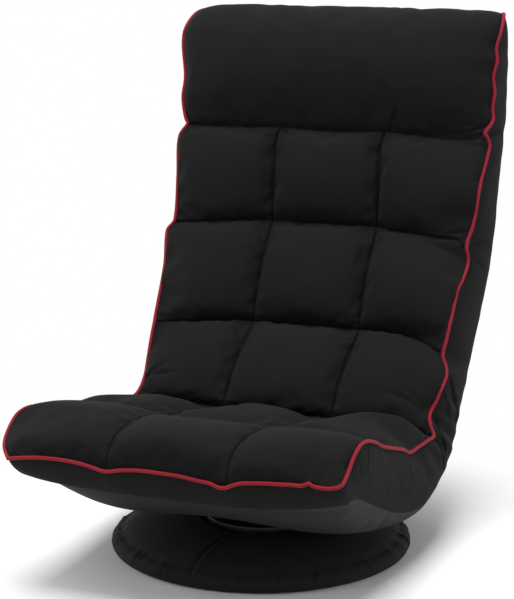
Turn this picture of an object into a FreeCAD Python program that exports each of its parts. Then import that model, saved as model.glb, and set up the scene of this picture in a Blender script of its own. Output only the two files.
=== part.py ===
import FreeCAD, Part
import math
import os

V = FreeCAD.Vector

# Floor gaming chair. Millimetres, Z up, the sitter faces -Y.
# The origin is where the swivel axis meets the floor.

# Round base
base_radius = 225.0
base_ring_inset = 24.0
base_ring_radius = base_radius - base_ring_inset
base_tube_radius = 11.0
base_pad_inset = 3.0
base_pad_radius = base_ring_radius - base_pad_inset
base_pad_thickness = 3.0
base_cover_thickness = 4.0
base_cover_top_radius = 92.0
base_cover_top = 45.0
base_cover_rise = 7.0
spoke_width = 30.0
spoke_thickness = 5.0
spoke_start = 32.0
spoke_knee = 8.0
spoke_foot = 40.0
hub_radius = 76.0
hub_thickness = 3.0
hub_top = 43.0

# Turntable bearing
plate_thickness = 3.0
lower_plate_radius = 72.0
upper_plate_radius = 84.0
upper_plate_lip = 8.0
race_radius = 56.0
ball_radius = 3.175
ball_count = 10
race_clearance = 0.1
plate_gap = 4.0
cage_thickness = 1.6
cage_half_width = 7.0
king_pin_radius = 6.0
king_pin_head_radius = 10.0
bolt_circle_radius = 28.0
base_bolt_radius = 3.0

# Seat frame and its carriers
frame_tube_radius = 9.5
frame_tube_wall = 1.5
rail_x = 205.0
seat_pitch = math.radians(11.6)
seat_rail_start = (45.0, 127.0)
seat_rail_length = 322.0
seat_corner_bend = 55.0
rod_radius = 4.0
seat_rod_distances = (70.0, 165.0, 250.0)
strap_width = 34.0
strap_thickness = 4.0
strap_y = 32.0
strap_flat_half = 92.0
strap_bolt_radius = 3.0
strap_bolt_x = 27.0

# Recline hinge, a toothed head held between two cheeks
pivot = (95.0, 167.0)
knuckle_radius = 43.0
knuckle_half_width = 236.0
tooth_pitch = 22.5
recline_forward = 22.5
recline_back = 67.5
head_radius = 24.0
tooth_depth = 5.0
head_thickness = 4.0
cheek_thickness = 2.0
cheek_radius = 30.0
cheek_gap = 0.5
rivet_radius = 6.0
rivet_head = 2.5
pawl_pivot_distance = 44.0
pawl_pin_radius = 3.0
pawl_boss_radius = 6.0
pawl_tip_radius = 3.6
pawl_lift = 9.0
spigot_length = 40.0
collar_length = 7.0
back_rail_offset = 62.0
seat_slot_radius = 53.0

# Side view of the curved back frame, from the pivot to the top, as (y, z)
back_line = (pivot, (210.0, 280.0), (309.0, 433.0), (347.0, 585.0), (376.0, 762.0))
back_rail_top = (369.0, 720.0)
back_corner_bend = 60.0
back_bend = 260.0
back_rod_shares = (0.36, 0.58, 0.79)

# Cushions. Heights and depths are measured square to the frame line.
# Rows of the seat: distance, height at the edge and at the column seams, crown of the
# middle cell and of the side cells.
# Rows of the headrest and its cap: place, height at the edge and in the middle.
column_seam_x = 88.0
seam_crown = 2.0
cell_crown = 31.0
cell_shoulder = 0.14
side_bulge = 6.0
cushion_gap = 0.3
running_clearance = 0.05
weld_gap = 0.2
seat_half_width = 241.0
seat_front_half_width = 246.0
back_half_widths = (238.0, 244.0, 250.0, 256.0, 262.0)
back_channel_heights = (44.0, 32.0, 45.0, 45.0)
back_edge_heights = (40.0, 62.0, 64.0, 49.0)
column_rise = 11.0
seat_rear_row = ((0.0, 50.0, 47.0, 2.0, 2.0), (40.0, 42.0, 54.0, 22.0, 27.0), (100.0, 37.0, 60.0, 21.0, 25.0),
                 (165.0, 48.0, 60.0, 16.0, 22.0), (213.6, 54.0, 57.0, 1.0, 8.0))
seat_front_row = (seat_rear_row[-1], (250.0, 58.0, 59.0, 7.0, 16.0), (300.0, 60.0, 57.0, 12.0, 16.0),
                  (345.0, 36.0, 48.0, 17.0, 21.0), (378.0, 14.0, 33.0, 20.0, 20.0), (393.0, 3.0, 12.0, 24.0, 18.0))
headrest_rows = ((0.0, 49.0, 44.0), (0.15, 47.0, 61.0), (0.45, 43.0, 80.0),
                 (0.75, 38.0, 78.0), (0.92, 31.0, 67.0), (1.0, 24.0, 54.0))
headrest_cap = ((0.0, 262.0, 24.0, 54.0), (9.0, 255.0, 15.0, 42.0), (16.0, 236.0, 3.0, 24.0))
headrest_cap_rear = (44.0, 32.0, 16.0)
pillow_shoulder = (0.9, 0.66)
pillow_flat = (0.66, 0.93)
rear_pad_depths = ((0.0, 56.0), (0.14, 58.0), (0.3, 56.0), (0.5, 60.0),
                   (0.7, 58.0), (0.82, 62.0), (0.92, 54.0), (1.0, 34.0))
rear_pad_sag = 12.0
underside_stations = ((0.0, 56.0, 6.0), (60.0, 69.0, 6.0), (120.0, 77.0, 6.0), (180.0, 75.0, 8.0),
                      (240.0, 61.0, 10.0), (300.0, 46.0, 9.0), (358.0, 33.0, 4.0))
underside_inset = 6.0
underside_nose = 8.0
underside_tail_depth = 34.0
belly_corner = 0.46
rear_pad_foot = -53.0
sweep_clearance = 8.0
sweep_foot = rear_pad_foot - recline_back - sweep_clearance
cutter_reach = 400.0

# Piping along the quilted panel
piping_radius = 2.3
piping_dip = 9.0
piping_front_bulge = 4.0

os.makedirs("parts", exist_ok=True)


def save(name, shape):
    shape.exportStep("parts/" + name + ".step")


def both_sides(name, right):
    """Write the right-hand piece and its mirror image."""
    save(name + "_right", right)
    save(name + "_left", right.mirror(V(0, 0, 0), V(1, 0, 0)))


def line(a, b):
    return Part.LineSegment(a, b).toShape()


def arc(a, middle, b):
    return Part.Arc(a, middle, b).toShape()


def polar(centre, radius, degrees):
    """A point (y, z) at a distance and an angle from the +Y direction."""
    turn = math.radians(degrees)
    return (centre[0] + radius * math.cos(turn), centre[1] + radius * math.sin(turn))


def at(x, point):
    return V(x, point[0], point[1])


def rod(start, end, radius):
    return Part.makeCylinder(radius, (end - start).Length, start, end - start)


def x_rod(point, radius, x_from, x_to):
    return rod(at(x_from, point), at(x_to, point), radius)


def prism(outline, x_from, x_to):
    """Extrude a closed side-view outline along X."""
    return Part.Face(outline).extrude(V(x_to - x_from, 0, 0))


def polygon(points, x):
    corners = [at(x, p) for p in points]
    return Part.makePolygon(corners + corners[:1])


def link_outline(a, a_radius, b, b_radius, x):
    """Two round ends joined by their outer tangents, in a plane of constant X."""
    heading = math.degrees(math.atan2(b[1] - a[1], b[0] - a[0]))
    distance = math.hypot(b[0] - a[0], b[1] - a[1])
    lean = math.degrees(math.acos((a_radius - b_radius) / distance))
    a_up = at(x, polar(a, a_radius, heading + lean))
    a_down = at(x, polar(a, a_radius, heading - lean))
    b_up = at(x, polar(b, b_radius, heading + lean))
    b_down = at(x, polar(b, b_radius, heading - lean))
    edges = [
        arc(a_up, at(x, polar(a, a_radius, heading + 180)), a_down),
        line(a_down, b_down),
        arc(b_down, at(x, polar(b, b_radius, heading)), b_up),
        line(b_up, a_up),
    ]
    return Part.Wire(edges)


def link(a, a_radius, b, b_radius, x_from, x_to):
    return prism(link_outline(a, a_radius, b, b_radius, x_from), x_from, x_to)


def bent_route(points, bend):
    """Straight runs joined by tangent arcs of the given radii."""
    edges = []
    here = points[0]
    for i in range(1, len(points) - 1):
        before = (points[i - 1] - points[i]).normalize()
        after = (points[i + 1] - points[i]).normalize()
        half = before.getAngle(after) / 2
        cut = bend[i - 1] / math.tan(half)
        start = points[i] + before * cut
        end = points[i] + after * cut
        inward = (before + after).normalize()
        middle = points[i] + inward * (bend[i - 1] / math.sin(half) - bend[i - 1])
        edges.append(line(here, start))
        edges.append(arc(start, middle, end))
        here = end
    edges.append(line(here, points[-1]))
    return Part.Wire(edges)


def pipe(route, radius):
    first = route.Edges[0]
    start = first.valueAt(first.FirstParameter)
    direction = first.tangentAt(first.FirstParameter)
    ring = Part.Wire([Part.makeCircle(radius, start, direction)])
    return route.makePipeShell([ring], True, False)


def tube(route):
    return pipe(route, frame_tube_radius).cut(pipe(route, frame_tube_radius - frame_tube_wall))


def hex_nut(centre, across, height):
    corners = [centre + V(across / math.sqrt(3) * math.cos(k * math.pi / 3),
                          across / math.sqrt(3) * math.sin(k * math.pi / 3), 0) for k in range(7)]
    return Part.Face(Part.makePolygon(corners)).extrude(V(0, 0, height))


# Heights that follow from the stack on the floor
ring_z = base_pad_thickness + cushion_gap + base_tube_radius
ball_z = hub_top + plate_thickness + plate_gap / 2
upper_plate_bottom = ball_z + plate_gap / 2
upper_plate_top = upper_plate_bottom + plate_thickness


# Base

def make_base_ring():
    """One closed hoop of round tube."""
    outer = Part.makeTorus(base_ring_radius, base_tube_radius, V(0, 0, ring_z))
    return outer.cut(Part.makeTorus(base_ring_radius, base_tube_radius - frame_tube_wall, V(0, 0, ring_z)))


def spoke_profile():
    """Side view of one bent flat bar, from under the hub down to the hoop."""
    top = hub_top - hub_thickness
    bottom = ring_z - spoke_thickness / 2
    reach = base_ring_radius
    knee = hub_radius + spoke_knee
    upper = [V(spoke_start, 0, top), V(knee, 0, top), V(reach - spoke_foot, 0, bottom + spoke_thickness),
             V(reach, 0, bottom + spoke_thickness)]
    lower = [V(reach, 0, bottom), V(reach - spoke_foot - 2, 0, bottom), V(knee - 2, 0, top - spoke_thickness),
             V(spoke_start, 0, top - spoke_thickness)]
    return Part.Face(Part.makePolygon(upper + lower + upper[:1]))


def make_base_spokes():
    hoop = Part.makeTorus(base_ring_radius, base_tube_radius + weld_gap, V(0, 0, ring_z))
    bar = spoke_profile().extrude(V(0, spoke_width, 0))
    bar.translate(V(0, -spoke_width / 2, 0))
    bar = bar.cut(hoop)
    bars = []
    for k in range(4):
        turned = bar.copy()
        turned.rotate(V(0, 0, 0), V(0, 0, 1), 45 + 90 * k)
        bars.append(turned)
    return Part.makeCompound(bars)


def bolt_places(count, radius, first):
    places = []
    for k in range(count):
        turn = math.radians(first + 360 / count * k)
        places.append(V(radius * math.cos(turn), radius * math.sin(turn), 0))
    return places


def drill(shape, places, radius):
    for place in places:
        shape = shape.cut(Part.makeCylinder(radius, cutter_reach, place))
    return shape


def make_hub_plate():
    plate = Part.makeCylinder(hub_radius, hub_thickness, V(0, 0, hub_top - hub_thickness))
    plate = drill(plate, [V(0, 0, 0)], king_pin_radius + running_clearance)
    return drill(plate, bolt_places(4, bolt_circle_radius, 0), base_bolt_radius + running_clearance)


def make_base_cover():
    """Padded fabric cone with a rolled rim, open underneath and round the bearing."""
    inner_rim = base_tube_radius + cushion_gap
    rim_x = base_ring_radius
    skin = base_radius - rim_x - inner_rim
    top = base_cover_top
    shoulder_z = ring_z + inner_rim + skin
    middle = (rim_x + base_cover_top_radius) / 2
    rise = shoulder_z + base_cover_rise
    outer = [
        arc(V(rim_x, 0, 0.4), V(base_radius, 0, ring_z - 1), V(rim_x, 0, shoulder_z)),
        arc(V(rim_x, 0, shoulder_z), V(middle, 0, rise), V(base_cover_top_radius, 0, top)),
        line(V(base_cover_top_radius, 0, top), V(base_cover_top_radius, 0, top - base_cover_thickness)),
        arc(V(base_cover_top_radius, 0, top - base_cover_thickness),
            V(middle, 0, rise - base_cover_thickness), V(rim_x, 0, ring_z + inner_rim)),
        arc(V(rim_x, 0, ring_z + inner_rim), V(rim_x + inner_rim, 0, ring_z), V(rim_x, 0, ring_z - inner_rim)),
        line(V(rim_x, 0, ring_z - inner_rim), V(rim_x, 0, 0.4)),
    ]
    return Part.Face(Part.Wire(outer)).revolve(V(0, 0, 0), V(0, 0, 1), 360)


def make_base_pad():
    """Flat non-slip disc that the chair stands on."""
    pad = Part.makeCylinder(base_pad_radius, base_pad_thickness)
    edge = [e for e in pad.Edges if e.BoundBox.ZMax < 0.01]
    return pad.makeChamfer(0.6, edge)


# Turntable bearing

def race(radius):
    return Part.makeTorus(race_radius, radius, V(0, 0, ball_z))


def make_lower_plate():
    plate = Part.makeCylinder(lower_plate_radius, plate_thickness, V(0, 0, hub_top))
    plate = plate.cut(race(ball_radius + race_clearance))
    plate = drill(plate, [V(0, 0, 0)], king_pin_radius + running_clearance)
    return drill(plate, bolt_places(4, bolt_circle_radius, 0), base_bolt_radius + running_clearance)


def make_upper_plate():
    """Pressed disc with a down-turned lip round the bearing."""
    low = upper_plate_bottom
    high = upper_plate_top
    r = upper_plate_radius
    t = plate_thickness
    edges = [
        line(V(0, 0, low), V(r - t - 2, 0, low)),
        arc(V(r - t - 2, 0, low), V(r - t - 0.6, 0, low - 0.6), V(r - t, 0, low - 2)),
        line(V(r - t, 0, low - 2), V(r - t, 0, high - upper_plate_lip)),
        line(V(r - t, 0, high - upper_plate_lip), V(r, 0, high - upper_plate_lip)),
        line(V(r, 0, high - upper_plate_lip), V(r, 0, high - t)),
        arc(V(r, 0, high - t), V(r - 0.88, 0, high - 0.88), V(r - t, 0, high)),
        line(V(r - t, 0, high), V(0, 0, high)),
        line(V(0, 0, high), V(0, 0, low)),
    ]
    plate = Part.Face(Part.Wire(edges)).revolve(V(0, 0, 0), V(0, 0, 1), 360)
    plate = plate.cut(race(ball_radius + race_clearance))
    plate = drill(plate, [V(0, 0, 0)], king_pin_radius + running_clearance)
    return drill(plate, strap_bolt_places(), strap_bolt_radius + running_clearance)


def make_cage():
    ring = Part.makeCylinder(race_radius + cage_half_width, cage_thickness, V(0, 0, ball_z - cage_thickness / 2))
    ring = ring.cut(Part.makeCylinder(race_radius - cage_half_width, cutter_reach))
    return drill(ring, bolt_places(ball_count, race_radius, 0), ball_radius + 2 * race_clearance)


def make_balls():
    return Part.makeCompound([Part.makeSphere(ball_radius, p + V(0, 0, ball_z))
                              for p in bolt_places(ball_count, race_radius, 0)])


def make_king_pin():
    """Shouldered rivet that keeps the two plates together."""
    bottom = hub_top - hub_thickness - 2
    pin = Part.makeCylinder(king_pin_radius, upper_plate_top + 0.2 - bottom, V(0, 0, bottom))
    foot = Part.makeCylinder(king_pin_head_radius, 2, V(0, 0, bottom))
    head = Part.makeCylinder(king_pin_head_radius, 2.5, V(0, 0, upper_plate_top + 0.2))
    return pin.fuse([foot, head]).removeSplitter()


def make_base_bolts():
    """Low-headed screws from the lower plate into nuts under the hub."""
    pieces = []
    for place in bolt_places(4, bolt_circle_radius, 0):
        top = hub_top + plate_thickness
        nut_top = hub_top - hub_thickness
        shank = Part.makeCylinder(base_bolt_radius, top - nut_top + 5, place + V(0, 0, nut_top - 5))
        head = Part.makeCone(base_bolt_radius + 2.5, base_bolt_radius + 1.5, 1.6, place + V(0, 0, top))
        nut = hex_nut(place + V(0, 0, nut_top - 5), 9.0, 5.0)
        pieces.append(shank.fuse([head, nut]).removeSplitter())
    return Part.makeCompound(pieces)


# Seat frame

def seat_point(distance, height=0.0):
    """A point (y, z) a distance forward along the seat rails and a height above them."""
    forward = (-math.cos(seat_pitch), math.sin(seat_pitch))
    up = (math.sin(seat_pitch), math.cos(seat_pitch))
    return (seat_rail_start[0] + distance * forward[0] + height * up[0],
            seat_rail_start[1] + distance * forward[1] + height * up[1])


def seat_route():
    corners = [at(rail_x, seat_point(0)), at(rail_x, seat_point(seat_rail_length)),
               at(-rail_x, seat_point(seat_rail_length)), at(-rail_x, seat_point(0))]
    return bent_route(corners, (seat_corner_bend, seat_corner_bend))


def seat_rods(radius, end_gap):
    reach = rail_x - frame_tube_radius - end_gap
    return [x_rod(seat_point(d), radius, -reach, reach) for d in seat_rod_distances]


def strap_bolt_places():
    return [V(sx * strap_bolt_x, sy * strap_y, 0) for sx in (1, -1) for sy in (1, -1)]


def strap_section(y, grow):
    """Front view of a carrier strap: flat on the turntable, rising to both rails."""
    centre_z = upper_plate_top + strap_thickness / 2
    distance = (seat_rail_start[0] - y) / math.cos(seat_pitch)
    rail_z = seat_point(distance)[1]
    end_z = rail_z - frame_tube_radius - strap_thickness / 2 - 1
    half = strap_thickness / 2 + grow
    path = [(0, centre_z), (strap_flat_half, centre_z), (rail_x - 22, end_z), (rail_x + 9, end_z)]
    turn = math.atan2(end_z - centre_z, rail_x - 22 - strap_flat_half)
    shift = half * math.tan(turn / 2)
    upper = [V(0, y, centre_z + half), V(path[1][0] - shift, y, centre_z + half),
             V(path[2][0] - shift, y, end_z + half), V(path[3][0] + grow, y, end_z + half)]
    lower = [V(path[3][0] + grow, y, end_z - half), V(path[2][0] + shift, y, end_z - half),
             V(path[1][0] + shift, y, centre_z - half), V(0, y, centre_z - half)]
    right = upper + lower[:-1]
    left = [V(-p.x, p.y, p.z) for p in reversed(right[1:])]
    return right[1:] + left


def strap_solid(y, grow):
    points = strap_section(y, grow)
    face = Part.Face(Part.makePolygon(points + points[:1]))
    solid = face.extrude(V(0, strap_width + 2 * grow, 0))
    solid.translate(V(0, -strap_width / 2 - grow, 0))
    return solid


def make_strap(y, rails):
    strap = strap_solid(y, 0).cut(rails)
    return drill(strap, strap_bolt_places(), strap_bolt_radius + running_clearance)


def make_strap_bolts():
    pieces = []
    for place in strap_bolt_places():
        top = upper_plate_top + strap_thickness
        shank = Part.makeCylinder(strap_bolt_radius, top - upper_plate_bottom, place + V(0, 0, upper_plate_bottom))
        rivet_foot = Part.makeCylinder(strap_bolt_radius + 1.5, 1, place + V(0, 0, upper_plate_bottom - 1))
        head = hex_nut(place + V(0, 0, top), 9.0, 4.0)
        pieces.append(shank.fuse([head, rivet_foot]).removeSplitter())
    return Part.makeCompound(pieces)


# Recline hinge, modelled on the right side

back_heading = math.degrees(math.atan2(back_line[1][1] - pivot[1], back_line[1][0] - pivot[0]))
pawl_pivot = polar(pivot, pawl_pivot_distance, back_heading)
nose_distance = head_radius - tooth_depth / 2
nose_spread = math.degrees(math.acos(nose_distance / pawl_pivot_distance))
nose_angle = back_heading + nose_spread
back_rail_start = polar(pivot, back_rail_offset, back_heading)
cheek_outside = head_thickness / 2 + cheek_gap + cheek_thickness
slot_half = cheek_outside + rivet_head + 1.0


def tooth_gap(angle, shrink):
    """Ratchet gap in the head: one steep flank and one sloping one."""
    root = head_radius - tooth_depth + shrink
    crest = head_radius + 1.5
    along = math.radians(angle)
    radial = (math.cos(along), math.sin(along))
    across = (-radial[1], radial[0])
    corners = ((root, -1.4 + shrink), (crest, -2.2 + shrink), (crest, 4.2 - shrink), (root, 1.4 - shrink))
    return [(pivot[0] + r * radial[0] + s * across[0], pivot[1] + r * radial[1] + s * across[1])
            for r, s in corners]


def past_mouth(start, heading):
    """Everything beyond the mouth of a rail, to trim the plates that end there."""
    reach = 60
    near = [polar(start, reach, heading + 90), polar(start, reach, heading - 90)]
    far = [polar(p, reach, heading) for p in reversed(near)]
    return prism(polygon(near + far, rail_x - 20), rail_x - 20, rail_x + 20)


def make_seat_hinge_arm():
    """Toothed round head, neck and a spigot that plugs into the seat rail."""
    low = rail_x - head_thickness / 2
    high = rail_x + head_thickness / 2
    head = x_rod(pivot, head_radius, low, high)
    steps = int(round((recline_forward + recline_back) / tooth_pitch)) + 1
    for k in range(steps):
        angle = nose_angle + recline_forward - tooth_pitch * k
        head = head.cut(prism(polygon(tooth_gap(angle, 0), low - 1), low - 1, high + 1))
    neck = link(pivot, head_radius - tooth_depth - 4, seat_rail_start, frame_tube_radius, low, high)
    collar = rod(at(rail_x, seat_point(-collar_length)), at(rail_x, seat_point(0)), frame_tube_radius)
    inside = frame_tube_radius - frame_tube_wall - running_clearance
    spigot = rod(at(rail_x, seat_point(-collar_length)), at(rail_x, seat_point(spigot_length)), inside)
    neck = neck.cut(past_mouth(seat_rail_start, 180 - math.degrees(seat_pitch)))
    arm = head.fuse([neck, collar, spigot])
    return arm.removeSplitter().cut(x_rod(pivot, rivet_radius + 1.5 * running_clearance, low - 1, high + 1))


def back_collar():
    return rod(at(rail_x, polar(pivot, back_rail_offset - collar_length, back_heading)),
               at(rail_x, back_rail_start), frame_tube_radius)


def make_back_hinge_arm():
    """Two cheeks round the toothed head, a block and a spigot for the back rail."""
    inner = head_thickness / 2 + cheek_gap
    cheeks = []
    for side in (-1, 1):
        near = rail_x + side * inner
        far = rail_x + side * cheek_outside
        blade = link(pivot, cheek_radius, back_rail_start, frame_tube_radius, near, far)
        cheeks.append(blade)
    block = link(polar(pivot, back_rail_offset - 3, back_heading), frame_tube_radius - 1, back_rail_start,
                 frame_tube_radius - 1, rail_x - cheek_outside, rail_x + cheek_outside)
    inside = frame_tube_radius - frame_tube_wall - running_clearance
    spigot = rod(at(rail_x, back_rail_start),
                 at(rail_x, polar(pivot, back_rail_offset + spigot_length, back_heading)), inside)
    plates = cheeks[0].fuse([cheeks[1], block]).cut(past_mouth(back_rail_start, back_heading))
    arm = plates.fuse([back_collar(), spigot]).removeSplitter()
    arm = arm.cut(x_rod(pivot, rivet_radius + running_clearance, rail_x - 20, rail_x + 20))
    return arm.cut(x_rod(pawl_pivot, pawl_pin_radius + running_clearance, rail_x - 20, rail_x + 20))


def headed_pin(point, radius, head_radius_, head_height):
    pin = x_rod(point, radius, rail_x - cheek_outside, rail_x + cheek_outside)
    heads = [x_rod(point, head_radius_, rail_x + s * cheek_outside, rail_x + s * (cheek_outside + head_height))
             for s in (-1, 1)]
    return pin.fuse(heads).removeSplitter()


def pawl_tip():
    """Centre of the pawl's round end when it is in a gap."""
    return polar(pivot, head_radius + pawl_tip_radius + 2.0, nose_angle)


def make_pawl():
    """Pawl in its lifted rest position, clear of the teeth."""
    low = rail_x - head_thickness / 2 + 0.1
    high = rail_x + head_thickness / 2 - 0.1
    tip = pawl_tip()
    arm = link(pawl_pivot, pawl_boss_radius, tip, pawl_tip_radius, low, high)
    nose = prism(polygon(tooth_gap(nose_angle, 0.3), low), low, high)
    bridge_corners = [tooth_gap(nose_angle, 0.3)[k] for k in (1, 2)]
    bridge = prism(polygon(bridge_corners + [tip], low), low, high)
    pawl = arm.fuse([nose, bridge]).cut(x_rod(pawl_pivot, pawl_pin_radius + running_clearance, low - 1, high + 1))
    pawl = pawl.removeSplitter()
    pawl.rotate(at(0, pawl_pivot), V(1, 0, 0), -pawl_lift)
    return pawl


def make_pawl_spring():
    """Leaf spring from the block to the back of the pawl."""
    tip = pawl_tip()
    along = math.degrees(math.atan2(tip[1] - pawl_pivot[1], tip[0] - pawl_pivot[0])) - pawl_lift
    root = polar(polar(pivot, back_rail_offset - collar_length, back_heading), 7.5, back_heading + 90)
    tip = polar(polar(pawl_pivot, 20, along), pawl_boss_radius - 0.3, along - 90)
    mid = polar(((root[0] + tip[0]) / 2, (root[1] + tip[1]) / 2), 1.5, along - 90)
    low = rail_x - 1.8
    thickness = 0.8
    outer = [polar(p, thickness, along - 90) for p in (root, mid, tip)]
    edges = [
        arc(at(low, root), at(low, mid), at(low, tip)),
        line(at(low, tip), at(low, outer[2])),
        arc(at(low, outer[2]), at(low, outer[1]), at(low, outer[0])),
        line(at(low, outer[0]), at(low, root)),
    ]
    return prism(Part.Wire(edges), low, rail_x + 1.8).cut(back_collar())


# Back frame

def back_curve():
    """Smooth side-view line through the middle of the back."""
    curve = Part.BSplineCurve()
    curve.interpolate([at(0, p) for p in back_line])
    return curve


back_spline = back_curve()


def back_point(share, height=0.0):
    """A point (y, z) on the back line at a share of its length, and a height in front of it."""
    length = back_spline.length()
    parameter = back_spline.parameterAtDistance(length * share)
    place = back_spline.value(parameter)
    tangent = back_spline.tangent(parameter)[0]
    return (place.y - tangent.z * height, place.z + tangent.y * height)


def back_route():
    """Down one side, round the top and up the other."""
    side = [back_rail_start] + [back_point(s) for s in seam_shares[1:4]] + [back_rail_top]
    corners = [at(rail_x, p) for p in side] + [at(-rail_x, p) for p in reversed(side)]
    bends = (back_bend, back_bend, back_bend, back_corner_bend, back_corner_bend,
             back_bend, back_bend, back_bend)
    return bent_route(corners, bends)


def back_rods(radius, end_gap):
    reach = rail_x - frame_tube_radius - end_gap
    return [x_rod(rod_place(s), radius, -reach, reach) for s in back_rod_shares]


def rod_place(share):
    """On the straight run of the rail nearest to the share of the back line."""
    side = [back_rail_start] + [back_point(s) for s in seam_shares[1:4]] + [back_rail_top]
    height = back_point(share)[1]
    for low, high in zip(side, side[1:]):
        if low[1] <= height <= high[1]:
            mix = (height - low[1]) / (high[1] - low[1])
            return (low[0] + mix * (high[0] - low[0]), height)
    return back_point(share)


def seam_share(height):
    """Share of the back line's length at which it reaches a height."""
    low, high = 0.0, 1.0
    for _ in range(40):
        middle = (low + high) / 2
        if back_point(middle)[1] < height:
            low = middle
        else:
            high = middle
    return low


seam_shares = [0.0] + [seam_share(p[1]) for p in back_line[1:4]] + [1.0]


# Cushions

def cushion_section(point_at, place, half_width, edge, channel, crown, side_crown):
    """Closed cross-section: flat on the frame line, three crowned cells on top."""
    w = half_width
    c = column_seam_x
    spots = {
        "foot_left": (-w, 0), "foot_right": (w, 0), "side_left": (-w - side_bulge * edge / 50, edge / 2),
        "side_right": (w + side_bulge * edge / 50, edge / 2), "edge_left": (-w, edge), "edge_right": (w, edge),
        "seam_left": (-c, channel), "seam_right": (c, channel), "crown": (0, channel + crown),
        "crown_left": (-(w + c) / 2, (edge + channel) / 2 + side_crown),
        "crown_right": ((w + c) / 2, (edge + channel) / 2 + side_crown),
    }
    p = {name: at(x, point_at(place, h)) for name, (x, h) in spots.items()}
    return Part.Wire([
        line(p["foot_right"], p["foot_left"]),
        arc(p["foot_left"], p["side_left"], p["edge_left"]),
        arc(p["edge_left"], p["crown_left"], p["seam_left"]),
        arc(p["seam_left"], p["crown"], p["seam_right"]),
        arc(p["seam_right"], p["crown_right"], p["edge_right"]),
        arc(p["edge_right"], p["side_right"], p["foot_right"]),
    ])


def plain_section(point_at, place, half_width, edge, middle, sign):
    """Closed cross-section with one wide arc; sign -1 puts it just behind the frame line."""
    w = half_width
    bulge = w + side_bulge * edge / 50
    foot = cushion_gap if sign < 0 else 0.0
    p = [at(x, point_at(place, sign * h)) for x, h in
         ((w, foot), (-w, foot), (-bulge, edge / 2), (-w, edge), (0, middle), (w, edge), (bulge, edge / 2))]
    return Part.Wire([line(p[0], p[1]), arc(p[1], p[2], p[3]), arc(p[3], p[4], p[5]), arc(p[5], p[6], p[0])])


def pillow_section(place, half_width, edge, middle):
    """Closed cross-section of the headrest: flat on the frame line, round-shouldered in front."""
    w = half_width
    bulge = w + side_bulge * edge / 50
    shoulder, flat = [(w * across, mix(edge, middle, up)) for across, up in (pillow_shoulder, pillow_flat)]
    p = [at(x, back_point(place, h)) for x, h in
         ((w, 0), (-w, 0), (-bulge, edge / 2), (-w, edge), (-shoulder[0], shoulder[1]), (-flat[0], flat[1]),
          (0, middle), flat, shoulder, (w, edge), (bulge, edge / 2))]
    return Part.Wire([line(p[0], p[1]), arc(p[1], p[2], p[3]), arc(p[3], p[4], p[5]), arc(p[5], p[6], p[7]),
                      arc(p[7], p[8], p[9]), arc(p[9], p[10], p[0])])


def loft(sections):
    return Part.makeLoft(sections, True, False)


def mix(a, b, share):
    return a + (b - a) * share


def back_width(share):
    """Half the width of the back at a share of its length."""
    for k in range(len(seam_shares) - 1):
        if share <= seam_shares[k + 1] + 1e-9:
            part = (share - seam_shares[k]) / (seam_shares[k + 1] - seam_shares[k])
            return mix(back_half_widths[k], back_half_widths[k + 1], part)
    return back_half_widths[-1]


def back_row_stations(row):
    """Frame share, edge height, seam height and crown through one row of cells."""
    stations = []
    for t in (0.0, cell_shoulder, 0.5, 1 - cell_shoulder, 1.0):
        swell = math.sin(math.pi * t)
        share = mix(seam_shares[row], seam_shares[row + 1], t)
        edge = mix(back_edge_heights[row], back_edge_heights[row + 1], t)
        channel = mix(back_channel_heights[row], back_channel_heights[row + 1], t) + column_rise * swell
        crown = seam_crown + (cell_crown - seam_crown) * max(swell, 0) ** 0.5
        stations.append((share, edge, channel, crown))
    return stations


def make_back_cushion(clear):
    """Three rows of three cells, hollowed at its foot to turn about the hinge."""
    rows = []
    for row in range(3):
        rows.append(loft([cushion_section(back_point, s, back_width(s), e, c, k, k)
                          for s, e, c, k in back_row_stations(row)]))
    return rows[0].fuse(rows[1:]).cut(clear)


def headrest_stations():
    low = seam_shares[3]
    return [(mix(low, 1.0, t), edge, middle) for t, edge, middle in headrest_rows]


def make_headrest(clear):
    pillow = loft([pillow_section(s, back_width(s), e, m) for s, e, m in headrest_stations()])
    top = loft([cap_section(*row, rear) for row, rear in zip(headrest_cap, headrest_cap_rear)])
    return pillow.fuse(top).cut(clear)


def cap_section(rise, half_width, edge, middle, rear):
    """Cross-section of the pillow's top, above the end of the back line."""
    end = back_point(1.0)
    front = back_point(1.0, 1.0)
    up = (front[1] - end[1], end[0] - front[0])
    w = half_width

    def place(x, h):
        base = back_point(1.0, h)
        return at(x, (base[0] + up[0] * rise, base[1] + up[1] * rise))

    bulge = w + side_bulge / 2
    shoulder, flat = [(w * across, mix(edge, middle, up)) for across, up in (pillow_shoulder, pillow_flat)]
    p = [place(x, h) for x, h in ((w, -edge), (0, -rear), (-w, -edge), (-bulge, 0), (-w, edge),
                                  (-shoulder[0], shoulder[1]), (-flat[0], flat[1]), (0, middle),
                                  flat, shoulder, (w, edge), (bulge, 0))]
    return Part.Wire([arc(p[0], p[1], p[2]), arc(p[2], p[3], p[4]), arc(p[4], p[5], p[6]), arc(p[6], p[7], p[8]),
                      arc(p[8], p[9], p[10]), arc(p[10], p[11], p[0])])


def rear_depth(share):
    """Depth of the rear pad behind the frame line."""
    for low, high in zip(rear_pad_depths, rear_pad_depths[1:]):
        if share <= high[0]:
            part = (share - low[0]) / (high[0] - low[0])
            return mix(low[1], high[1], (1 - math.cos(math.pi * part)) / 2)
    return rear_pad_depths[-1][1]


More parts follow.
